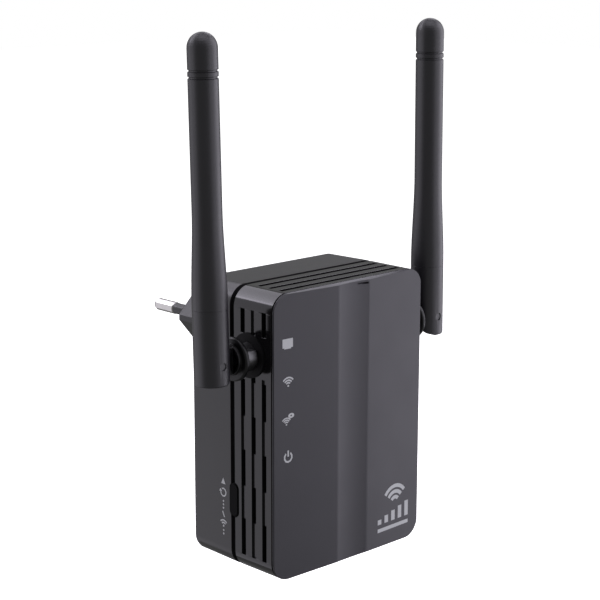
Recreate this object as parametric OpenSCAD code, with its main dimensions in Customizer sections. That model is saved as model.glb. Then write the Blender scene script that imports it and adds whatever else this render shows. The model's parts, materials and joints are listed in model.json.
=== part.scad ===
// Plug-in wifi range extender with two folding antennas.
// Millimetres. +Z is up, the front panel faces -Y and the mains plug points along +Y.
// The row origin is the middle of the plug's end face, between the two pins.
// Everything is drawn about the housing's own centre line and its front rim (x, y, z = 0),
// and placed() moves it into the row frame.

/* [Housing] */
// Width of the housing
body_w = 63; // [61:0.5:66]
// Height of the housing
body_h = 88; // [86:0.5:94]
// Depth of the front housing, from the front rim to the seam groove
front_d = 17.2; // [17:0.1:18]
// Width of the seam groove between the housings
groove_w = 1.8; // [1.4:0.1:2]
// Depth of the rear housing behind the seam groove
rear_d = 17.8; // [17.6:0.1:20]
// Radius of the housing's four long corners
corner_r = 6; // [5:0.5:7]
// Wall thickness of the housings
wall = 2.2; // [2:0.1:2.4]

/* [Front panel] */
// Distance of the left fold from the centre line
fold_left = 6.4; // [5:0.1:8]
// Distance of the right fold from the centre line
fold_right = 7.5; // [6:0.1:9]
// How far the folds stand in front of the rim
fold_h = 1.1; // [0.8:0.1:1.6]
// Depth of the hollow band between the folds
band_dip = 0.35; // [0.2:0.05:0.5]

/* [Vents] */
// Width of one vent groove
vent_w = 1.8; // [1.4:0.1:2]
// Distance between vent grooves
vent_pitch = 4.6; // [4.4:0.1:4.8]
// Depth of the groove where it isn't cut through
vent_depth = 0.6; // [0.3:0.1:1.2]

/* [Antennas] */
// Distance of each antenna's axis from the housing's centre line
antenna_x = 46; // [46:0.1:48]
// Length of an antenna, from its flat foot to its dome
antenna_len = 101.1; // [90:0.5:130]
// Diameter at the tip
tip_d = 8.8; // [8.4:0.1:9.4]
// Diameter at the foot
foot_d = 10.5; // [10.2:0.1:11]
// Height of the hinges above the middle of the housing
hinge_z = 24.5; // [22:0.5:26]
// Distance of the hinges behind the front rim
hinge_y = 10.6; // [10.4:0.1:10.8]
// Backward lean of the left and right antennas at rest, in degrees
lean_back = [0.5, 0.8]; // [0:0.1:2]
// Outward lean of the left and right antennas at rest, in degrees
lean_out = [1, 0.4]; // [0:0.1:1]

/* [Plug] */
// Diameter of the bare pin ends
pin_d = 4; // [3.9:0.05:4.1]
// Length of a pin outside the plug
pin_len = 19; // [18:0.5:20]
// Distance between the pins
pin_pitch = 19; // [18:0.1:19.5]
// Length of the plug behind the rear housing
plug_len = 24.3; // [20:0.1:30]

/* [Hidden] */
$fn = 64;
eps = 0.01;

// Housing
panel_edge = 0.5;                        // height of the panel's outer edge
panel_round = 0.25;                      // bevel along that edge
gap_w = 0.5;                             // shadow gap between panel and housing
front_y = panel_edge + gap_w;            // front face of the front housing
front_wall = 1.8;                        // wall behind the front panel
notch_x = 4.6;                           // nail slot in the panel's hollow band
notch_z = 42.75;
notch_w = 4.6;
notch_h = 0.6;
notch_depth = 0.85;
seam_y = front_d;
rear_y = front_d + groove_w;
back_y = rear_y + rear_d;
lip_step = 1.2;                          // depth of the seam groove
lip_t = 1;                               // thickness of the rear housing's lip
lip_len = 2;                             // how far the lip reaches into the front housing
fit_gap = 0.1;
draft = 0.3;                             // the rear housing narrows by this on each side
edge_r = 0.9;                            // round edge of the back face
plug_y = back_y + plug_len;
plug_z = 25.3;
tip_y = plug_y + pin_len;
plug_w = 35.3;
plug_h = 14;
plug_low = 0.8;                          // what the lower half is deeper by
plug_blunt = 0.8;                        // flat on each side corner of the plug
plug_bevel = 0.9;
plug_root = 7;                           // depth and spread of the plug's root
sleeve_r = pin_d / 2 - 0.17;             // insulating sleeve at the root of each pin
bare = 9.8;                              // length of the bare pin beyond its sleeve

// Vents
vent_y0 = 4.1;
vent_rows = 3;
vent_z = 0;                              // the side vents' middle, above the housing's middle
vent_pause = 6.4;                        // the side vents stop this far from the hinge's axis
vent_cells = 7;
vent_grow = 0.17;                        // what an open cell gains at each end
side_vent_len = body_h - 2 * corner_r + 0.6;
top_vent_len = body_w - 2 * corner_r - 1;
top_vent_cells = 5;

// Icons and badge
icon_x = -25.8;
icon_z = 29.2;
icon_pitch = 11.6;
inlay_y = 0.35;                          // the printed inlays reach back to here
badge_x = 19.5;
badge_z = -31.6;

// Boards
main_y = 19.3;
board_t = 1.6;
power_y = 31;
post_r = 2.6;
screw_r = 1.2;
board_posts = [for (x = [-22, 22]) for (z = [-14, 37]) [x, z]];

// Hinges: a hollow neck turns in the side wall, and its tongue carries the antenna's fork
neck_r = 4;
neck_bore_r = 1.4;
run_gap = 0.06;
flange_r = 6.6;
flange_x = 36.8;
washer_r = 6.8;                          // rubber washer on the side wall, round the neck
washer_t = 0.5;
spacer_x = body_w / 2 + washer_t + 0.1;  // spacer on the thin stretch of the neck
spacer_bore_r = 2.05;
collar_r = 4.6;
collar_flat = 2.3;                       // height of the collar's flat above the hinge's axis
step_r = 4.7;                            // low round step on the flange, at the tongue's root
step_t = 1.05;
foot_below = 6.1;                        // the antenna's foot is this far below its tilt pin
flange_end = antenna_x - foot_below - 0.3;
boss_r = 5.3;
boss_in = 26;                            // inner end of the hinge boss
ring_x = boss_in - 1.5;                  // retainer position on the neck
tongue_t = 4;
tongue_r = 4;
ear_gap = 0.08;
tilt_pin_r = 1.2;
foot_z = hinge_z - foot_below;
joint_up = 22.5;                         // parting line above the foot
flare_from = 24;
flare_to = 51;

// Button
button_y0 = 15.6;
button_y1 = 19.5;
button_z = -22;
button_h = 10.8;
button_gap = 0.15;
button_out = 0.25;                       // how far the button stands out of the side

// Ethernet port, in the bottom of the rear housing
port_w = 16;
port_h = 13;
port_len = 21;
port_y = main_y + board_t;               // the shell stands on the main board

module placed() {
    translate([0, -plug_y, -plug_z]) children();
}

// Draws a flat outline in the XZ plane, from y0 to y1
module slab(y0, y1) {
    translate([0, y1, 0]) rotate([90, 0, 0]) linear_extrude(y1 - y0) children();
}

module round_rect(w, h, r) {
    square([w - 2 * r, h], center = true);
    square([w, h - 2 * r], center = true);
    for (x = [-1, 1]) for (z = [-1, 1])
        translate([x * (w / 2 - r), z * (h / 2 - r)]) circle(r);
}

module outline(inset = 0) {
    round_rect(body_w - 2 * inset, body_h - 2 * inset, corner_r - min(inset, corner_r - 1));
}

module box(x0, x1, y0, y1, z0, z1) {
    translate([x0, y0, z0]) cube([x1 - x0, y1 - y0, z1 - z0]);
}

// A cylinder along X from x0 to x1, at y and z
module x_rod(x0, x1, y, z, r) {
    translate([x0, y, z]) rotate([0, 90, 0]) cylinder(r = r, h = x1 - x0);
}

// A cylinder along Y from y0 to y1, at x and z
module y_rod(y0, y1, x, z, r) {
    translate([x, y0, z]) rotate([-90, 0, 0]) cylinder(r = r, h = y1 - y0);
}

// Vents ------------------------------------------------------------------------------------

// One groove along Z on the side x = 0, facing +X, with every second cell cut through
module vent_column(len, cells, first, through) {
    cell = len / cells;
    translate([-vent_depth, -vent_w / 2, -len / 2]) cube([vent_depth + 1, vent_w, len]);
    for (i = [first : 2 : cells - 1])
        translate([-through, -vent_w / 2, max(-len / 2, -len / 2 + i * cell - vent_grow)])
            cube([through + 1, vent_w,
                  min(cell + 2 * vent_grow, len - max(0, i * cell - vent_grow))]);
}

module side_vents(side) {
    difference() {
        for (i = [0 : vent_rows - 1])
            translate([side * body_w / 2, vent_y0 + i * vent_pitch, vent_z])
                rotate([0, 0, side > 0 ? 0 : 180])
                    vent_column(side_vent_len, vent_cells, i % 2, wall + 1);
        // the wall stays whole at the hinge
        box(-body_w, body_w, -1, front_d, hinge_z - vent_pause, hinge_z + vent_pause);
    }
}

module end_vents(side) {
    for (i = [0 : vent_rows - 1])
        translate([0, vent_y0 + i * vent_pitch, side * body_h / 2])
            rotate([0, -side * 90, 0])
                vent_column(top_vent_len, top_vent_cells, i % 2, wall + 1);
}

// Thick ring inside the wall, in which the neck turns
module hinge_pad(side) {
    x_rod(side > 0 ? boss_in : -body_w / 2, side > 0 ? body_w / 2 : -boss_in,
          hinge_y, hinge_z, boss_r);
}

module hinge_bore(side) {
    x_rod(side > 0 ? boss_in - 1 : -body_w / 2 - 1, side > 0 ? body_w / 2 + 1 : -boss_in + 1,
          hinge_y, hinge_z, neck_r + run_gap);
}

// Button opening, through the side wall and the lip
module pill(y0, y1, h) {
    r = (y1 - y0) / 2;
    translate([(y0 + y1) / 2, 0]) {
        square([2 * r, h - 2 * r], center = true);
        for (s = [-1, 1]) translate([0, s * (h / 2 - r)]) circle(r);
    }
}

// An outline drawn in (y, z), carried along X from x0 to x1
module side_slab(x0, x1) {
    translate([x0, 0, 0]) rotate([90, 0, 90]) linear_extrude(x1 - x0) children();
}

module button_opening() {
    side_slab(-body_w / 2 - 1, -body_w / 2 + wall + 2)
        translate([0, button_z])
            pill(button_y0 - button_gap, button_y1 + button_gap, button_h + 2 * button_gap);
}

// Housings ---------------------------------------------------------------------------------

module rear_outer() {
    hull() {
        slab(rear_y, rear_y + 1) outline();
        slab(back_y - edge_r - 0.1, back_y - edge_r) outline(draft);
        slab(back_y - 0.3 * edge_r - 0.05, back_y - 0.3 * edge_r) outline(draft + 0.28 * edge_r);
        slab(back_y - 0.05, back_y) outline(draft + edge_r);
    }
}

// Six-sided outline of the plug, with blunted side corners
module plug_outline(grow) {
    half_w = plug_w / 2 + grow;
    half_h = plug_h / 2 + grow;
    low = half_h + plug_low;
    run = half_h - plug_low / 2;
    intersection() {
        polygon([
            [-half_w, 0], [-half_w + half_h, half_h], [half_w - half_h, half_h],
            [half_w, 0], [half_w - run, -low], [-half_w + run, -low]
        ]);
        square([2 * (half_w - plug_blunt), 4 * half_h], center = true);
    }
}

// A straight six-sided plug with a bevelled end, on a root that spreads over the back face
module plug_shape(inset = 0) {
    end = plug_y - inset;
    root_y = back_y + plug_root;
    translate([0, 0, plug_z]) {
        hull() {
            slab(end - 0.1, end) plug_outline(-inset - plug_bevel);
            slab(root_y - 1, end - plug_bevel) plug_outline(-inset);
        }
        hull() {
            slab(root_y - 0.1, root_y) plug_outline(-inset);
            slab(back_y - edge_r - 1 - inset, back_y - edge_r) plug_outline(plug_root - inset);
        }
    }
}

module port_cut() {
    box(-port_w / 2 - fit_gap, port_w / 2 + fit_gap, port_y - fit_gap,
        port_y + port_h + fit_gap, -body_h / 2 - 1, -body_h / 2 + port_len + 1);
}

module rear_housing() color([0.22, 0.22, 0.23]) placed() {
    difference() {
        union() {
            difference() {
                union() {
                    rear_outer();
                    plug_shape();
                }
                slab(rear_y - 1, back_y - wall) outline(wall + draft);
                plug_shape(wall);
            }
            // lip that enters the front housing
            difference() {
                slab(seam_y - lip_len, rear_y + eps) outline(lip_step);
                slab(seam_y - lip_len - 1, rear_y + 1) outline(lip_step + lip_t);
            }
            // end wall of the plug, thick enough to hold the pins
            for (s = [-1, 1])
                y_rod(plug_y - 12, plug_y - wall + 0.5, s * pin_pitch / 2, plug_z, 3.6);
            // posts of the main board
            for (p = board_posts)
                y_rod(main_y + board_t, back_y - wall + 0.5, p[0], p[1], post_r);
        }
        for (s = [-1, 1])
            y_rod(plug_y - 13, plug_y + 1, s * pin_pitch / 2, plug_z, sleeve_r);
        for (p = board_posts)
            y_rod(main_y + board_t - 1, main_y + board_t + 7, p[0], p[1], screw_r);
        // the lip stays clear of the hinge rings
        for (s = [-1, 1])
            x_rod(s > 0 ? boss_in : -body_w / 2, s > 0 ? body_w / 2 : -boss_in,
                  hinge_y, hinge_z, boss_r + 0.3);
        port_cut();
        button_opening();
        marker_prism(0.3);
    }
}

module front_housing() color([0.16, 0.16, 0.17]) placed() {
    difference() {
        union() {
            difference() {
                slab(front_y, seam_y) outline();
                slab(front_y + front_wall, seam_y + 1) outline(wall);
                slab(seam_y - lip_len - fit_gap, seam_y + 1) outline(lip_step - fit_gap);
                for (s = [-1, 1]) side_vents(s);
                for (s = [-1, 1]) end_vents(s);
            }
            for (s = [-1, 1]) hinge_pad(s);
            // raised middle of the front wall, which carries the panel
            slab(front_y - gap_w, front_y + eps) outline(0.8);
        }
        for (s = [-1, 1]) hinge_bore(s);
        for (i = [0 : 3])
            y_rod(front_y - 1, front_y + front_wall + 1, icon_x, icon_z - i * icon_pitch, 1.6);
        button_opening();
    }
}

// Front panel: two flat facets that rise to the folds, with a hollow band between them
module panel_profile() {
    steps = 12;
    band = fold_left + fold_right;
    polygon(concat(
        [[-body_w / 2, panel_edge], [-body_w / 2, panel_round], [-body_w / 2 + panel_round, 0]],
        [for (i = [0 : steps])
            [-fold_left + band * i / steps,
             -fold_h + band_dip * (1 - pow(2 * i / steps - 1, 2))]],
        [[body_w / 2 - panel_round, 0], [body_w / 2, panel_round], [body_w / 2, panel_edge]]
    ));
}

module panel_solid() {
    intersection() {
        translate([0, 0, -body_h / 2]) linear_extrude(body_h) panel_profile();
        hull() {
            slab(-fold_h - 1, -fold_h - 0.9) outline(panel_round + 0.5);
            slab(-0.05, 0) outline(panel_round);
            slab(panel_round, panel_edge) outline();
        }
    }
}

module front_panel() color([0.28, 0.28, 0.3]) placed() {
    difference() {
        panel_solid();
        for (i = [0 : 3]) icon_prism(i);
        badge_prism();
        // nail slot near the top of the hollow band
        translate([notch_x, 0, notch_z]) slab(-fold_h - 1, -fold_h + band_dip + notch_depth)
            hull() {
                for (s = [-1, 1]) translate([s * (notch_w - notch_h) / 2, -s * 0.15])
                    circle(notch_h / 2, $fn = 24);
            }
    }
}

// Icons ------------------------------------------------------------------------------------

module arc_band(r, t, from, to) {
    steps = 8;
    polygon(concat(
        [for (i = [0 : steps]) let (a = from + (to - from) * i / steps)
            [(r + t / 2) * cos(a), (r + t / 2) * sin(a)]],
        [for (i = [steps : -1 : 0]) let (a = from + (to - from) * i / steps)
            [(r - t / 2) * cos(a), (r - t / 2) * sin(a)]]
    ));
}

module icon_screen() {
    translate([-0.2, 0]) {
        square([4, 2.7], center = true);
        translate([0, -1.5]) square([2.6, 0.4], center = true);
    }
}

// Concentric arcs over a dot, the usual sign for a radio signal
module waves(dot, radii, thickness) {
    circle(dot, $fn = 24);
    for (r = radii) arc_band(r, thickness, 40, 140);
}

module icon_waves() {
    translate([0, -1.3]) waves(0.32, [0.95, 1.7, 2.5], 0.48);
}

module icon_pair() {
    translate([-0.7, -1.45]) waves(0.28, [0.8, 1.4, 2], 0.38);
    translate([1.15, 1.05]) scale([1, 0.66]) difference() {
        circle(1.15, $fn = 32);
        circle(0.35, $fn = 24);
    }
}

module icon_mains() {
    arc_band(1.45, 0.58, 125, 415);
    translate([0, 1.15]) square([0.58, 1.9], center = true);
}

module icon_shape(i) {
    if (i == 0) icon_screen();
    if (i == 1) icon_waves();
    if (i == 2) icon_pair();
    if (i == 3) icon_mains();
}

module icon_prism(i) {
    translate([icon_x, 0, icon_z - i * icon_pitch])
        slab(-fold_h - 1, inlay_y) icon_shape(i);
}

module icon(i) color([0.8, 0.8, 0.82]) placed() {
    intersection() {
        panel_solid();
        icon_prism(i);
    }
}

module icon_ethernet() { icon(0); }
module icon_signal() { icon(1); }
module icon_link() { icon(2); }
module icon_power() { icon(3); }

// Badge: three arcs, five rising bars and a base line
module badge_shape() {
    bars = 5;
    bar_w = 1.7;
    bar_pitch = 3.2;
    translate([0.8, 0.95])
        for (r = [1.85, 3.7, 5.6]) arc_band(r, 1.2, 38, 144);
    for (i = [0 : bars - 1])
        translate([(i - (bars - 1) / 2) * bar_pitch - bar_w / 2, -4.7])
            square([bar_w, 1.6 + 0.85 * i]);
    translate([-7.25, -7.3]) square([14.5, 1.2]);
}

module badge_prism() {
    translate([badge_x, 0, badge_z])
        slab(-fold_h - 1, inlay_y) badge_shape();
}

module signal_badge() color([0.8, 0.8, 0.82]) placed() {
    intersection() {
        panel_solid();
        badge_prism();
    }
}

// Printed marks beside the button: an arrowhead, an open ring, dots, a dash and arcs
module marker_shape() {
    translate([22.6, 0]) {
        translate([0, -17.3]) polygon([[-1, -0.8], [1, -0.8], [0, 1.1]]);
        translate([0, -20.8]) {
            arc_band(1.25, 0.45, 60, 360);
            translate([1.25, 0.2]) polygon([[-0.65, -0.1], [0.65, -0.1], [0, 0.85]]);
        }
        for (i = [0 : 2]) translate([0, -23.6 - i * 1.1]) circle(0.32, $fn = 24);
        translate([0, -27.8]) rotate(-25) square([0.45, 2], center = true);
        translate([0, -31.6]) waves(0.35, [1.05, 1.85], 0.45);
        for (i = [0 : 1]) translate([0, -33 - i * 1.1]) circle(0.32, $fn = 24);
    }
}

module marker_prism(depth) {
    side_slab(-body_w / 2 - 1, -body_w / 2 + draft + depth) marker_shape();
}

module button_marker() color([0.75, 0.75, 0.77]) placed() {
    intersection() {
        rear_outer();
        marker_prism(0.3);
    }
}

// Electronics ------------------------------------------------------------------------------

module led_board() color("darkgreen") placed() {
    translate([icon_x + 0.4, 0, 11.3]) slab(3.7, 4.7) round_rect(4.6, 44, 0.8);
}

module status_leds() color("khaki") placed() {
    for (i = [0 : 3])
        box(icon_x - 0.8, icon_x + 0.8, 2.95, 3.7,
            icon_z - i * icon_pitch - 0.5, icon_z - i * icon_pitch + 0.5);
}

module light_guides() color([0.9, 0.9, 0.92, 0.6]) placed() {
    for (i = [0 : 3])
        y_rod(front_y - gap_w, front_y + front_wall, icon_x, icon_z - i * icon_pitch, 1.5);
}

module main_board() color("darkgreen") placed() {
    difference() {
        translate([0, 0, -0.8]) slab(main_y, main_y + board_t) round_rect(52, 80, 2);
        for (p = board_posts)
            y_rod(main_y - 1, main_y + board_t + 1, p[0], p[1], 1.5);
    }
}

module main_chip() color("dimgray") placed() {
    box(-6, 8, main_y - 1.4, main_y, -8, 6);
}

module shield_can() color("silver") placed() {
    difference() {
        box(-17, 17, main_y - 2.6, main_y, 12, 32);
        box(-16.7, 16.7, main_y - 2.3, main_y + 1, 12.3, 31.7);
    }
}

module heat_sink() color("gray") placed() {
    base_y = main_y - 1.4;
    box(-9, 11, base_y - 1.8, base_y, -11, 9);
    for (i = [0 : 5])
        box(-9 + i * 3.8, -8 + i * 3.8, base_y - 7, base_y - 1.8 + eps, -11, 9);
}

module ethernet_shell() color("silver") placed() {
    t = 0.4;
    difference() {
        box(-port_w / 2, port_w / 2, port_y, port_y + port_h, -body_h / 2 + 0.2,
            -body_h / 2 + port_len);
        box(-port_w / 2 + t + 1.6, port_w / 2 - t - 1.6, port_y + 2.4, port_y + port_h - 2.6,
            -body_h / 2 - 1, -body_h / 2 + port_len - 4);
        // latch channel
        box(-3, 3, port_y + port_h - 3, port_y + port_h - 0.9,
            -body_h / 2 - 1, -body_h / 2 + port_len - 8);
    }
}

module ethernet_contacts() color("gold") placed() {
    for (i = [0 : 7])
        box((i - 3.5) * 1.02 - 0.2, (i - 3.5) * 1.02 + 0.2, port_y + 2.4, port_y + 3,
            -body_h / 2 + 3, -body_h / 2 + port_len - 4);
}

module tact_switch() color("silver") placed() {
    box(-25.8, -21.8, main_y - 3.5, main_y, button_z - 3, button_z + 3);
}

module board_link() color("black") placed() {
    box(-20, -8, main_y + board_t, power_y, -12, -9.5);
}

module power_board() color("tan") placed() {
    difference() {
        translate([0, 0, 12.5]) slab(power_y, power_y + board_t) round_rect(48, 52, 2);
        for (p = board_posts)
            y_rod(power_y - 1, power_y + board_t + 1, p[0], p[1], post_r + 0.3);
        y_rod(power_y - 1, power_y + board_t + 1, -20, 26, 0.9);
    }
}

module transformer() color("goldenrod") placed() {
    box(2, 17, power_y - 8.5, power_y, -8, 8);
    box(0.5, 18.5, power_y - 6.6, power_y - 1.9, -9.5, 9.5);
}

module power_capacitors() color("navy") placed() {
    for (x = [-14, -4]) translate([x, power_y - 4.2, 4]) cylinder(r = 4, h = 15);
    translate([10, power_y - 4.2, 22]) cylinder(r = 3.2, h = 11);
}

module power_inductor() color("darkred") placed() {
    y_rod(power_y - 6.5, power_y, -8, 31, 4.6);
}

module board_screws() color("silver") placed() {
    for (p = board_posts) {
        y_rod(main_y - 1.5, main_y, p[0], p[1], 2.2);
        y_rod(main_y, main_y + board_t + 6, p[0], p[1], screw_r - 0.1);
    }
}

// Two thin leads from the main board to the hollow necks
module coax_leads() color("dimgray") placed() {
    for (s = [-1, 1]) {
        x_rod(s > 0 ? 14 : -22.4, s > 0 ? 22.4 : -14, hinge_y, hinge_z, 0.7);
        translate([s * 14, hinge_y, hinge_z]) sphere(0.7, $fn = 32);
        y_rod(hinge_y, main_y - 2.6, s * 14, hinge_z, 0.7);
    }
}

module mains_wires() color("brown") placed() {
    for (s = [-1, 1])
        y_rod(power_y + board_t, plug_y - 12, s * pin_pitch / 2, plug_z, 1);
}

module plug_pins() color("gainsboro") placed() {
    for (s = [-1, 1]) {
        y_rod(plug_y - 12, tip_y - bare, s * pin_pitch / 2, plug_z, 1.3);
        translate([s * pin_pitch / 2, tip_y - bare, plug_z]) rotate([-90, 0, 0])
            rotate_extrude() polygon([
                [0, 0], [pin_d / 2 - 0.2, 0], [pin_d / 2, 0.3], [pin_d / 2, bare - 1.2],
                [pin_d / 2 - 0.3, bare - 0.5], [pin_d / 2 - 0.8, bare - 0.1], [0, bare]
            ]);
    }
}

module pin_sleeves() color([0.12, 0.12, 0.12]) placed() {
    for (s = [-1, 1]) translate([s * pin_pitch / 2, 0, plug_z]) difference() {
        y_rod(plug_y - 11, tip_y - bare, 0, 0, sleeve_r);
        y_rod(plug_y - 12, tip_y - bare + 1, 0, 0, 1.3);
    }
}

module reset_button() color([0.05, 0.05, 0.05]) placed() {
    x0 = -body_w / 2 - button_out;
    x1 = -body_w / 2 + wall + 0.4;
    translate([0, 0, button_z]) {
        side_slab(x0 + 0.35, x1 + eps) pill(button_y0, button_y1, button_h);
        side_slab(x0, x0 + 0.36) pill(button_y0 + 0.3, button_y1 - 0.3, button_h - 0.6);
        // flange that keeps the button inside the wall
        side_slab(x1, x1 + 0.8) pill(button_y0 - 0.8, button_y1 + 0.8, button_h + 1.6);
    }
    // stem that meets the switch at the end of its travel
    x_rod(x1 + 0.8 - eps, -25.8 - 0.7, main_y - 1.9, button_z, 0.9);
}

// Hinges and antennas ----------------------------------------------------------------------

// Both sides are drawn on the right and mirrored for the left. An antenna's parts lean
// back with the neck, and out about the tilt pin.
module sided(side, out = true) {
    i = side > 0 ? 1 : 0;
    placed() mirror([side > 0 ? 0 : 1, 0, 0]) translate([antenna_x, hinge_y, hinge_z])
        rotate([-lean_back[i], 0, 0]) rotate([0, out ? lean_out[i] : 0, 0])
            translate([-antenna_x, -hinge_y, -hinge_z]) children();
}

module knuckle(side) color([0.06, 0.06, 0.06]) sided(side, false) {
    flange_t = flange_end - flange_x - step_t;
    difference() {
        union() {
            x_rod(ring_x - 1.2, spacer_x - 0.05, hinge_y, hinge_z, neck_r);
            x_rod(spacer_x - 0.1, flange_x + 0.1, hinge_y, hinge_z, spacer_bore_r - 0.05);
            // flange with its step
            translate([flange_x, hinge_y, hinge_z]) rotate([0, 90, 0]) rotate_extrude()
                polygon([
                    [0, 0], [flange_r - 0.4, 0], [flange_r, 0.4],
                    [flange_r, flange_t - 0.4], [flange_r - 0.4, flange_t],
                    [step_r, flange_t], [step_r, flange_t + step_t - 0.15],
                    [step_r - 0.15, flange_t + step_t], [0, flange_t + step_t]
                ]);
            box(flange_end - 0.1, antenna_x, hinge_y - tongue_t / 2, hinge_y + tongue_t / 2,
                hinge_z - tongue_r, hinge_z + tongue_r);
            y_rod(hinge_y - tongue_t / 2, hinge_y + tongue_t / 2, antenna_x, hinge_z, tongue_r);
        }
        // the aerial lead's way out
        x_rod(ring_x - 2, flange_x + 1, hinge_y, hinge_z, neck_bore_r);
        y_rod(hinge_y - 3, hinge_y + 3, antenna_x, hinge_z, tilt_pin_r + 0.05);
        // groove of the retainer
        difference() {
            x_rod(ring_x, ring_x + 1, hinge_y, hinge_z, neck_r + 1);
            x_rod(ring_x - 1, ring_x + 2, hinge_y, hinge_z, neck_r - 0.8);
        }
    }
}

module washer(side) color([0.05, 0.05, 0.05]) sided(side, false) {
    difference() {
        x_rod(body_w / 2, body_w / 2 + washer_t, hinge_y, hinge_z, washer_r);
        x_rod(body_w / 2 - 1, body_w / 2 + 1, hinge_y, hinge_z, neck_r + run_gap + 0.04);
    }
}

// Tapered stop collar that turns with the neck, with a flat on top
module spacer(side) color([0.45, 0.45, 0.47]) sided(side, false) {
    len = flange_x - spacer_x - 0.02;
    difference() {
        translate([spacer_x, hinge_y, hinge_z]) rotate([0, 90, 0]) rotate_extrude()
            polygon([
                [spacer_bore_r, 0], [collar_r, 0], [collar_r, 0.4],
                [collar_r - 0.8, len], [spacer_bore_r, len]
            ]);
        box(spacer_x - 1, flange_x, hinge_y - 9, hinge_y + 9,
            hinge_z + collar_flat, hinge_z + 9);
    }
}

module retainer(side) color("silver") sided(side, false) {
    difference() {
        x_rod(ring_x + 0.03, ring_x + 0.97, hinge_y, hinge_z, neck_r + 1.2);
        x_rod(ring_x - 1, ring_x + 2, hinge_y, hinge_z, neck_r - 0.74);
        box(ring_x - 1, ring_x + 2, hinge_y - 1.5, hinge_y + 1.5, hinge_z - 9, hinge_z);
    }
}

// Radius of the antenna at height h above its foot
function antenna_r(h) =
    let (t = min(1, max(0, (h - flare_from) / (flare_to - flare_from))))
    foot_d / 2 + (tip_d - foot_d) / 2 * (3 * t * t - 2 * t * t * t);

module base_profile() {
    polygon([
        [0, 0], [foot_d / 2 - 0.6, 0], [foot_d / 2 - 0.18, 0.18], [foot_d / 2, 0.6],
        [foot_d / 2, joint_up], [3.4, joint_up], [3.4, joint_up + 10], [0, joint_up + 10]
    ]);
}

module sleeve_profile() {
    steps = 14;
    dome = tip_d / 2;
    ring_h = antenna_len - 12.6;
    ring_gap = 1.9;
    ring_w = 0.7;
    ring_dip = 0.35;
    polygon(concat(
        [[3.45, joint_up + 0.05]],
        [for (i = [0 : steps]) let (h = joint_up + 0.05 + (flare_to - joint_up) * i / steps)
            [antenna_r(h), h]],
        [for (k = [0, 1]) for (c = [[-ring_w / 2, 0], [-ring_w / 4, ring_dip],
                                    [ring_w / 4, ring_dip], [ring_w / 2, 0]])
            [tip_d / 2 - c[1], ring_h + k * ring_gap + c[0]]],
        [for (a = [0 : 10 : 90]) [dome * cos(a), antenna_len - dome + dome * sin(a)]],
        [[0, antenna_len - 6], [2.2, antenna_len - 6], [2.2, joint_up + 12], [3.45, joint_up + 10.2]]
    ));
}

// The slot lets the tongue pass while the antenna folds from upright to level
module fork_slot() {
    half = tongue_t / 2 + ear_gap;
    clear = tongue_r + 0.25;
    y_rod(hinge_y - half, hinge_y + half, antenna_x, hinge_z, clear);
    box(antenna_x - 8, antenna_x, hinge_y - half, hinge_y + half, hinge_z - 8, hinge_z + clear);
    box(antenna_x - 8, antenna_x + clear, hinge_y - half, hinge_y + half, hinge_z - 8, hinge_z);
}

// What the inner bottom corner loses so that it can swing past the flange
module fork_corner() {
    difference() {
        box(antenna_x - 9, antenna_x, hinge_y - 9, hinge_y + 9, hinge_z - 9, hinge_z);
        y_rod(hinge_y - 10, hinge_y + 10, antenna_x, hinge_z, foot_below);
    }
}

module antenna_base(side) color([0.13, 0.13, 0.14]) sided(side) {
    difference() {
        translate([antenna_x, hinge_y, foot_z]) rotate_extrude() base_profile();
        fork_slot();
        fork_corner();
        y_rod(hinge_y - 9, hinge_y + 9, antenna_x, hinge_z, tilt_pin_r);
        translate([antenna_x, hinge_y, hinge_z]) cylinder(r = 1.4, h = 40);
    }
}

module antenna_sleeve(side) color([0.11, 0.11, 0.12]) sided(side) {
    translate([antenna_x, hinge_y, foot_z]) rotate_extrude() sleeve_profile();
}

module radiator(side) color("peru") sided(side) {
    translate([antenna_x, hinge_y, foot_z]) {
        translate([0, 0, 11]) cylinder(r = 0.7, h = 60);
        translate([0, 0, joint_up + 14]) cylinder(r = 1.9, h = 24);
    }
}

module tilt_pin(side) color([0.1, 0.1, 0.1]) sided(side) {
    y_rod(hinge_y - foot_d / 2 + 0.35, hinge_y + foot_d / 2 - 0.35, antenna_x, hinge_z,
          tilt_pin_r);
}

module left_washer() { washer(-1); }
module left_knuckle() { knuckle(-1); }
module left_spacer() { spacer(-1); }
module left_retainer() { retainer(-1); }
module left_antenna_base() { antenna_base(-1); }
module left_antenna_sleeve() { antenna_sleeve(-1); }
module left_radiator() { radiator(-1); }
module left_tilt_pin() { tilt_pin(-1); }
module right_washer() { washer(1); }
module right_knuckle() { knuckle(1); }
module right_spacer() { spacer(1); }
module right_retainer() { retainer(1); }
module right_antenna_base() { antenna_base(1); }
module right_antenna_sleeve() { antenna_sleeve(1); }
module right_radiator() { radiator(1); }
module right_tilt_pin() { tilt_pin(1); }

rear_housing();
front_housing();
front_panel();
icon_ethernet();
icon_signal();
icon_link();
icon_power();
signal_badge();
button_marker();
led_board();
status_leds();
light_guides();
main_board();
main_chip();
shield_can();
heat_sink();
ethernet_shell();
ethernet_contacts();
tact_switch();
board_link();
power_board();
transformer();
power_capacitors();
power_inductor();
board_screws();
coax_leads();
mains_wires();
plug_pins();
pin_sleeves();
reset_button();
left_washer();
left_knuckle();
left_spacer();
left_retainer();
left_antenna_base();
left_antenna_sleeve();
left_radiator();
left_tilt_pin();
right_washer();
right_knuckle();
right_spacer();
right_retainer();
right_antenna_base();
right_antenna_sleeve();
right_radiator();
right_tilt_pin();
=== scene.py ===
import json
import math

import bmesh
import bpy
from mathutils import Matrix, Vector


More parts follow.
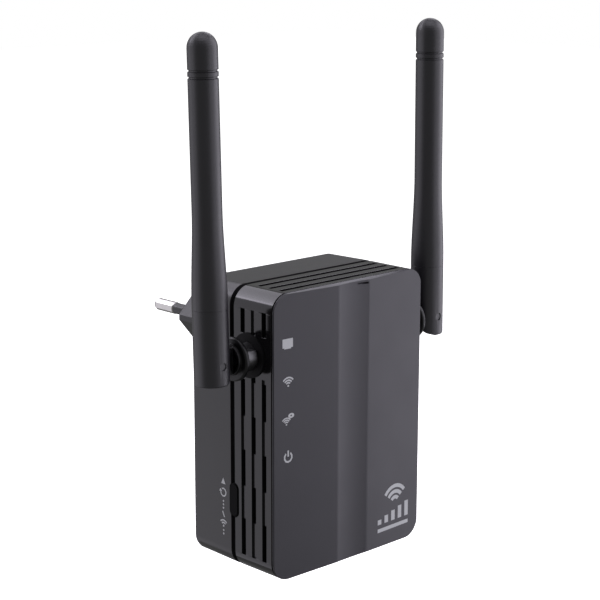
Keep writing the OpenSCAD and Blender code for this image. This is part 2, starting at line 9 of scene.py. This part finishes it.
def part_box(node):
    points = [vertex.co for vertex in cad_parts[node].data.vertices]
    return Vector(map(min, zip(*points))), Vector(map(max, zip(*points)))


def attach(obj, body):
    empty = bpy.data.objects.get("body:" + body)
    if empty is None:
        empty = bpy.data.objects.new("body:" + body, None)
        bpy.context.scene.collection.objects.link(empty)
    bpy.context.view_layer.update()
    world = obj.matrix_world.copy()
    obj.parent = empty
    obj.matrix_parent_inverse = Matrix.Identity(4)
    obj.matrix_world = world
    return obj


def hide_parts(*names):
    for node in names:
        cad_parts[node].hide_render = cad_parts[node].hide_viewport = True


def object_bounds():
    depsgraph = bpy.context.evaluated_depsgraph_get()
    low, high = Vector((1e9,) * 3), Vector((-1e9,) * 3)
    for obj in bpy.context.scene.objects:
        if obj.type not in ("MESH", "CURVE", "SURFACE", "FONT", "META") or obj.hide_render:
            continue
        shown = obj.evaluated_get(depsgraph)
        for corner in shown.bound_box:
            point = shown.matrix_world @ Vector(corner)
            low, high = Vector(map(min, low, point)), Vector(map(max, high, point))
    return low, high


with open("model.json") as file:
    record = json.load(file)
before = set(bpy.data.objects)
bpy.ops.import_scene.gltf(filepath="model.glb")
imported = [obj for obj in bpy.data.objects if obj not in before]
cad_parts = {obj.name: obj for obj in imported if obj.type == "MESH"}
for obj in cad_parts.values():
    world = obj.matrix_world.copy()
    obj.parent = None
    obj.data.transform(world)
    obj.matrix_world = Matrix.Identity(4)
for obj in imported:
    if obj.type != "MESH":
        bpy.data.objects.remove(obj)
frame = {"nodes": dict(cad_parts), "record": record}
cad_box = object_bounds()
NODES = frame["nodes"]
MM = 0.001
MICRON = 0.000001

panel_low, panel_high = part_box("front_panel")
# The middle of the front panel's flat rear rim, from which the camera is placed.
panel_rim = Vector(((panel_low.x + panel_high.x) / 2, panel_high.y,
                    (panel_low.z + panel_high.z) / 2))


# Camera -----------------------------------------------------------------------------------

LENS = 103.5                # mm
CLIP_START = 0.02           # m
AZIMUTH = 43.69             # degrees from +Y towards +X that the camera looks
ELEVATION = 12.65           # degrees that it looks down
ROLL = 0.1                  # degrees
CAMERA_PLACE = panel_rim + Vector((-360.1, -355.6, 151.5)) * MM


def make_camera():
    data = bpy.data.cameras.new("camera")
    data.lens = LENS
    data.clip_start = CLIP_START
    camera = bpy.data.objects.new("camera", data)
    bpy.context.scene.collection.objects.link(camera)
    azimuth = math.radians(AZIMUTH)
    elevation = math.radians(ELEVATION)
    roll = math.radians(ROLL)
    forward = Vector((math.sin(azimuth) * math.cos(elevation),
                      math.cos(azimuth) * math.cos(elevation),
                      -math.sin(elevation)))
    level = Vector((math.cos(azimuth), -math.sin(azimuth), 0))
    up = level.cross(forward)
    right = level * math.cos(roll) + up * math.sin(roll)
    up = right.cross(forward)
    turn = Matrix((right, up, -forward)).transposed().to_4x4()
    camera.matrix_world = Matrix.Translation(CAMERA_PLACE) @ turn
    bpy.context.scene.camera = camera


# Light ------------------------------------------------------------------------------------

TINT = (1.0, 0.965, 1.09)
AIM = Vector((0, -0.03, 0))
LIGHT_DISTANCE = 1.0        # m from AIM
ARCH_LEAN = 0.705           # how far the arch leans to the back, as the sine of its angle
WHITE = (1, 1, 1, 1)
ROOM_STRENGTH = 0.25
PAPER_STRENGTH = 1.0


def area_light(name, width, height, radiance):
    """A rectangular area light of even radiance."""
    data = bpy.data.lights.new(name, "AREA")
    data.shape = "RECTANGLE"
    data.size = width
    data.size_y = height
    data.energy = radiance * math.pi * width * height
    data.color = TINT
    lamp = bpy.data.objects.new(name, data)
    bpy.context.scene.collection.objects.link(lamp)
    return lamp


def softbox(name, direction, width, height, radiance):
    """An upright area light that faces the object."""
    lamp = area_light(name, width, height, radiance)
    away = Vector(direction).normalized()
    lamp.location = AIM + away * LIGHT_DISTANCE
    lamp.rotation_euler = (-away).to_track_quat("-Z", "Y").to_euler()


def overhead_arch(start, end, strips, depth, first_radiance, last_radiance):
    """Strips of light side by side in an arch over the back, from the left to the right."""
    reach = math.sqrt(1 - ARCH_LEAN ** 2)
    strip_angle = math.radians(end - start) / strips
    for i in range(strips):
        angle = math.radians(start) + (i + 0.5) * strip_angle
        away = Vector((-reach * math.cos(angle), ARCH_LEAN, reach * math.sin(angle)))
        along = Vector((math.sin(angle), 0, math.cos(angle)))
        share = i / (strips - 1)
        radiance = first_radiance * (last_radiance / first_radiance) ** share
        lamp = area_light("arch_%02d" % i, reach * strip_angle, depth, radiance)
        turn = Matrix((along, away.cross(along), away)).transposed().to_4x4()
        lamp.matrix_world = Matrix.Translation(AIM + away * LIGHT_DISTANCE) @ turn


def make_lights():
    softbox("key_right", (0.92, -0.38, 0.2), width=0.9, height=1.6, radiance=1.9)
    softbox("top_right", (0.68, 0.44, 0.59), width=0.3, height=0.3, radiance=3.0)
    softbox("overhead", (-0.05, -0.08, 1.0), width=0.9, height=0.9, radiance=1.15)
    softbox("front_right", (0.36, -0.93, 0.34), width=0.75, height=1.6, radiance=0.85)
    softbox("side_left", (-0.69, 0.72, -0.1), width=1.3, height=1.6, radiance=0.66)
    overhead_arch(start=38.5, end=135, strips=10, depth=0.34,
                  first_radiance=4.4, last_radiance=1.0)


def make_world():
    """Soft grey light from all round, and plain white behind the object."""
    world = bpy.data.worlds.new("studio")
    world.use_nodes = True
    tree = world.node_tree
    tree.nodes.clear()
    out = tree.nodes.new("ShaderNodeOutputWorld")
    mix = tree.nodes.new("ShaderNodeMixShader")
    seen = tree.nodes.new("ShaderNodeLightPath")
    room = tree.nodes.new("ShaderNodeBackground")
    room.inputs["Color"].default_value = WHITE
    room.inputs["Strength"].default_value = ROOM_STRENGTH
    paper = tree.nodes.new("ShaderNodeBackground")
    paper.inputs["Color"].default_value = WHITE
    paper.inputs["Strength"].default_value = PAPER_STRENGTH
    tree.links.new(seen.outputs["Is Camera Ray"], mix.inputs[0])
    tree.links.new(room.outputs[0], mix.inputs[1])
    tree.links.new(paper.outputs[0], mix.inputs[2])
    tree.links.new(mix.outputs[0], out.inputs["Surface"])
    bpy.context.scene.world = world
    bpy.context.scene.view_settings.view_transform = "Standard"


# Materials --------------------------------------------------------------------------------

NOISE_LOW = 0.15            # nearly all of a noise's values lie between these two
NOISE_HIGH = 0.85
WAVE_SIZE = 30 * MM         # slow waves in a moulded wall
FLOW_SIZE = 12 * MM         # patches of different gloss on plastic
TONE_SIZE = 20 * MM         # patches of different tone on plastic
RUB_SIZE = 2 * MM           # patches of different gloss on metal
TARNISH_SIZE = 1.5 * MM     # patches of different tone on metal


class Finish:
    """A Principled material that is built up in steps."""

    def __init__(self, name, color, roughness, metallic=0.0, specular=0.5):
        self.material = bpy.data.materials.new(name)
        self.material.use_nodes = True
        self.tree = self.material.node_tree
        self.shader = self.tree.nodes["Principled BSDF"]
        self.color = color
        self.roughness = roughness
        self.shader.inputs["Base Color"].default_value = (*color, 1)
        self.shader.inputs["Roughness"].default_value = roughness
        self.shader.inputs["Metallic"].default_value = metallic
        self.shader.inputs["Specular IOR Level"].default_value = specular
        self.normal = None

    def node(self, kind, **values):
        made = self.tree.nodes.new(kind)
        for key, value in values.items():
            setattr(made, key, value)
        return made

    def link(self, source, target):
        self.tree.links.new(source, target)

    def coords(self, stretch=(1, 1, 1)):
        place = self.node("ShaderNodeTexCoord")
        mapping = self.node("ShaderNodeMapping")
        mapping.inputs["Scale"].default_value = stretch
        self.link(place.outputs["Object"], mapping.inputs["Vector"])
        return mapping.outputs["Vector"]

    def noise(self, size, detail, stretch=(1, 1, 1)):
        """Noise whose features are about size metres across."""
        made = self.node("ShaderNodeTexNoise")
        made.inputs["Scale"].default_value = 1 / size
        made.inputs["Detail"].default_value = detail
        self.link(self.coords(stretch), made.inputs["Vector"])
        return made.outputs["Fac"]

    def cells(self, size):
        """Cells that are about size metres across."""
        made = self.node("ShaderNodeTexVoronoi")
        made.inputs["Scale"].default_value = 1 / size
        self.link(self.coords(), made.inputs["Vector"])
        return made.outputs["Distance"]

    def from_noise(self, value, low, high):
        """Spreads a noise's values from low to high."""
        made = self.node("ShaderNodeMapRange")
        made.inputs["From Min"].default_value = NOISE_LOW
        made.inputs["From Max"].default_value = NOISE_HIGH
        made.inputs["To Min"].default_value = low
        made.inputs["To Max"].default_value = high
        self.link(value, made.inputs["Value"])
        return made.outputs["Result"]

    def bump(self, height, depth):
        """Adds a bump of depth metres."""
        made = self.node("ShaderNodeBump")
        made.inputs["Strength"].default_value = 1.0
        made.inputs["Distance"].default_value = depth
        self.link(height, made.inputs["Height"])
        if self.normal is not None:
            self.link(self.normal, made.inputs["Normal"])
        self.normal = made.outputs["Normal"]
        self.link(self.normal, self.shader.inputs["Normal"])

    def vary_roughness(self, value, spread):
        made = self.from_noise(value, self.roughness - spread, self.roughness + spread)
        self.link(made, self.shader.inputs["Roughness"])

    def vary_color(self, value, low, high):
        """Multiplies the colour by a factor that runs from low to high."""
        made = self.node("ShaderNodeMix", data_type="RGBA")
        made.inputs["A"].default_value = (*[c * low for c in self.color], 1)
        made.inputs["B"].default_value = (*[c * high for c in self.color], 1)
        self.link(self.from_noise(value, 0, 1), made.inputs["Factor"])
        self.link(made.outputs["Result"], self.shader.inputs["Base Color"])


def moulded(name, color, roughness, grain, depth, spread=0.04, specular=0.5):
    """Moulded plastic: fine spark-eroded grain, slow waves, and patches of gloss and tone.

    grain is in mm, and depth, the grain's, is in microns."""
    made = Finish(name, color, roughness, specular=specular)
    made.bump(made.noise(WAVE_SIZE, 1.0), depth * 6 * MICRON)
    made.bump(made.cells(grain * MM), depth * MICRON)
    made.bump(made.noise(grain * 0.45 * MM, 2.0), depth * 0.6 * MICRON)
    made.vary_roughness(made.noise(FLOW_SIZE, 2.0), spread)
    made.vary_color(made.noise(TONE_SIZE, 2.0), 0.92, 1.08)
    return made.material


def metal(name, color, roughness, stretch=(1, 1, 1), grain=0.4, depth=4):
    """Worked metal: fine grain, drawn into lines by stretch, and patches of gloss and tone.

    grain is in mm, and depth, the grain's, is in microns."""
    made = Finish(name, color, roughness, metallic=1.0)
    made.bump(made.noise(grain * MM, 2.0, stretch), depth * MICRON)
    made.vary_roughness(made.noise(RUB_SIZE, 4.0), 0.06)
    made.vary_color(made.noise(TARNISH_SIZE, 4.0), 0.9, 1.05)
    return made.material


def make_materials():
    return {
        "rear_shell": moulded("rear_shell", (0.017, 0.0165, 0.0175), 0.3, grain=0.25, depth=3.5,
                              spread=0.02),
        "front_shell": moulded("front_shell", (0.0075, 0.0073, 0.008), 0.11, grain=0.3, depth=0.5,
                               spread=0.02),
        "panel": moulded("panel", (0.027, 0.026, 0.033), 0.4, grain=0.2, depth=3.5),
        "print_grey": moulded("print_grey", (0.53, 0.54, 0.555), 0.5, grain=0.15, depth=2),
        "antenna_rubber": moulded("antenna_rubber", (0.0056, 0.0049, 0.0086), 0.42, grain=0.2,
                                  depth=4, specular=0.8),
        "black_gloss": moulded("black_gloss", (0.004, 0.004, 0.0045), 0.3, grain=0.3, depth=1.5,
                               spread=0.02, specular=0.3),
        # Painted shade: the washer round each antenna neck is near-black, rough and barely
        # reflective, and stands in for the shaded pocket round the neck.
        "washer_rubber": moulded("washer_rubber", (0.006, 0.006, 0.0065), 0.6, grain=0.3, depth=5,
                                 specular=0.12),
        "spacer_grey": metal("spacer_grey", (0.19, 0.19, 0.195), 0.3, stretch=(0.2, 1, 1)),
        "button_black": moulded("button_black", (0.003, 0.003, 0.0033), 0.5, grain=0.2, depth=3,
                                specular=0.05),
        "pcb": moulded("pcb", (0.01, 0.09, 0.035), 0.35, grain=0.6, depth=3),
        "pcb_tan": moulded("pcb_tan", (0.42, 0.3, 0.15), 0.55, grain=0.5, depth=4),
        "led": moulded("led", (0.8, 0.8, 0.62), 0.15, grain=0.4, depth=1),
        "light_pipe": moulded("light_pipe", (0.75, 0.78, 0.8), 0.1, grain=0.4, depth=1),
        "chip": moulded("chip", (0.02, 0.02, 0.02), 0.55, grain=0.2, depth=4),
        "tin": metal("tin", (0.62, 0.63, 0.64), 0.32, stretch=(1, 1, 8)),
        "heatsink": metal("heatsink", (0.2, 0.2, 0.21), 0.4, stretch=(1, 1, 6)),
        "contact_gold": metal("contact_gold", (0.9, 0.65, 0.25), 0.22),
        "header": moulded("header", (0.02, 0.02, 0.02), 0.5, grain=0.3, depth=3),
        "transformer": moulded("transformer", (0.7, 0.52, 0.06), 0.3, grain=0.8, depth=3),
        "capacitor": moulded("capacitor", (0.02, 0.04, 0.16), 0.25, grain=0.8, depth=2),
        "inductor": moulded("inductor", (0.015, 0.015, 0.015), 0.4, grain=0.5, depth=3),
        "steel": metal("steel", (0.55, 0.55, 0.57), 0.3),
        "coax": moulded("coax", (0.03, 0.03, 0.032), 0.5, grain=0.4, depth=3),
        "wire": moulded("wire", (0.2, 0.06, 0.02), 0.45, grain=0.4, depth=3),
        "nickel": metal("nickel", (0.62, 0.61, 0.59), 0.18, stretch=(1, 0.06, 1), grain=0.2,
                        depth=3),
        "sleeve": moulded("sleeve", (0.022, 0.022, 0.023), 0.3, grain=0.2, depth=2,
                          spread=0.02),
        "copper": metal("copper", (0.75, 0.4, 0.2), 0.3),
    }


def give_material(mesh, material):
    mesh.materials.clear()
    mesh.materials.append(material)


# Pieces with softened edges ---------------------------------------------------------------

SAME_POINT = 0.001 * MM
FLAT_ANGLE = 0.2            # degrees: faces that meet at less than this are one flat face
SHARP_ANGLE = 28            # degrees: edges that turn by more than this are rounded over
HOUSING_PIECES = (          # node, material slot, width of the rounded edge in mm
    ("front_panel", "panel", 0.12),
    ("front_housing", "front_shell", 0.1),
    ("rear_housing", "rear_shell", 0.15),
)
BUTTON_EDGE = 0.1           # mm
KNUCKLE_EDGE = 0.2          # mm
ANTENNA_BASE_EDGE = 0.15    # mm


def softened(node, width):
    """A copy of a CAD node whose sharp edges are rounded over, as a mould leaves them."""
    mesh = NODES[node].data.copy()
    shape = bmesh.new()
    shape.from_mesh(mesh)
    bmesh.ops.remove_doubles(shape, verts=shape.verts, dist=SAME_POINT)
    bmesh.ops.dissolve_limit(shape, angle_limit=math.radians(FLAT_ANGLE),
                             verts=shape.verts, edges=shape.edges)
    shape.to_mesh(mesh)
    shape.free()
    piece = bpy.data.objects.new(node + "_finished", mesh)
    bpy.context.scene.collection.objects.link(piece)
    bevel = piece.modifiers.new("edges", "BEVEL")
    bevel.width = width
    bevel.segments = 2
    bevel.limit_method = "ANGLE"
    bevel.angle_limit = math.radians(SHARP_ANGLE)
    bevel.use_clamp_overlap = True
    bevel.harden_normals = True
    for face in mesh.polygons:
        face.use_smooth = True
    weighted = piece.modifiers.new("normals", "WEIGHTED_NORMAL")
    weighted.weight = 100
    weighted.keep_sharp = True
    graph = bpy.context.evaluated_depsgraph_get()
    done = bpy.data.meshes.new_from_object(piece.evaluated_get(graph))
    piece.modifiers.clear()
    piece.data = done
    return piece


def replace_with_softened(node, slot_name, body, edge, materials):
    piece = softened(node, edge * MM)
    give_material(piece.data, materials[slot_name])
    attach(piece, body)
    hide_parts(node)


# Stage ------------------------------------------------------------------------------------

FLOOR_SIZE = 6              # m
FLOOR_DROP = 0.12           # m below the object
FLOOR_COLOR = (0.9, 0.9, 0.9)


def make_floor():
    """Plain pale paper, lit evenly, that adds no light or reflection to the object."""
    bpy.ops.mesh.primitive_plane_add(size=FLOOR_SIZE)
    floor = bpy.context.object
    floor.name = "floor"
    floor.location.z = cad_box[0].z - FLOOR_DROP
    made = Finish("floor_paper", FLOOR_COLOR, 0.9)
    made.shader.inputs["Emission Color"].default_value = WHITE
    made.shader.inputs["Emission Strength"].default_value = 1.0
    floor.data.materials.append(made.material)
    floor.visible_glossy = False
    floor.visible_diffuse = False


# The scene --------------------------------------------------------------------------------

make_camera()
make_lights()
make_world()
make_floor()

materials = make_materials()
for part in frame["record"]["subparts"]:
    give_material(NODES[part["node"]].data, materials[part["material_slot"]])

for node, slot_name, edge in HOUSING_PIECES:
    replace_with_softened(node, slot_name, "housing", edge, materials)
replace_with_softened("reset_button", "button_black", "reset_button", BUTTON_EDGE, materials)
for side in ("left", "right"):
    replace_with_softened(side + "_knuckle", "black_gloss", side + "_swivel", KNUCKLE_EDGE,
                          materials)
    replace_with_softened(side + "_antenna_base", "antenna_rubber", side + "_antenna",
                          ANTENNA_BASE_EDGE, materials)
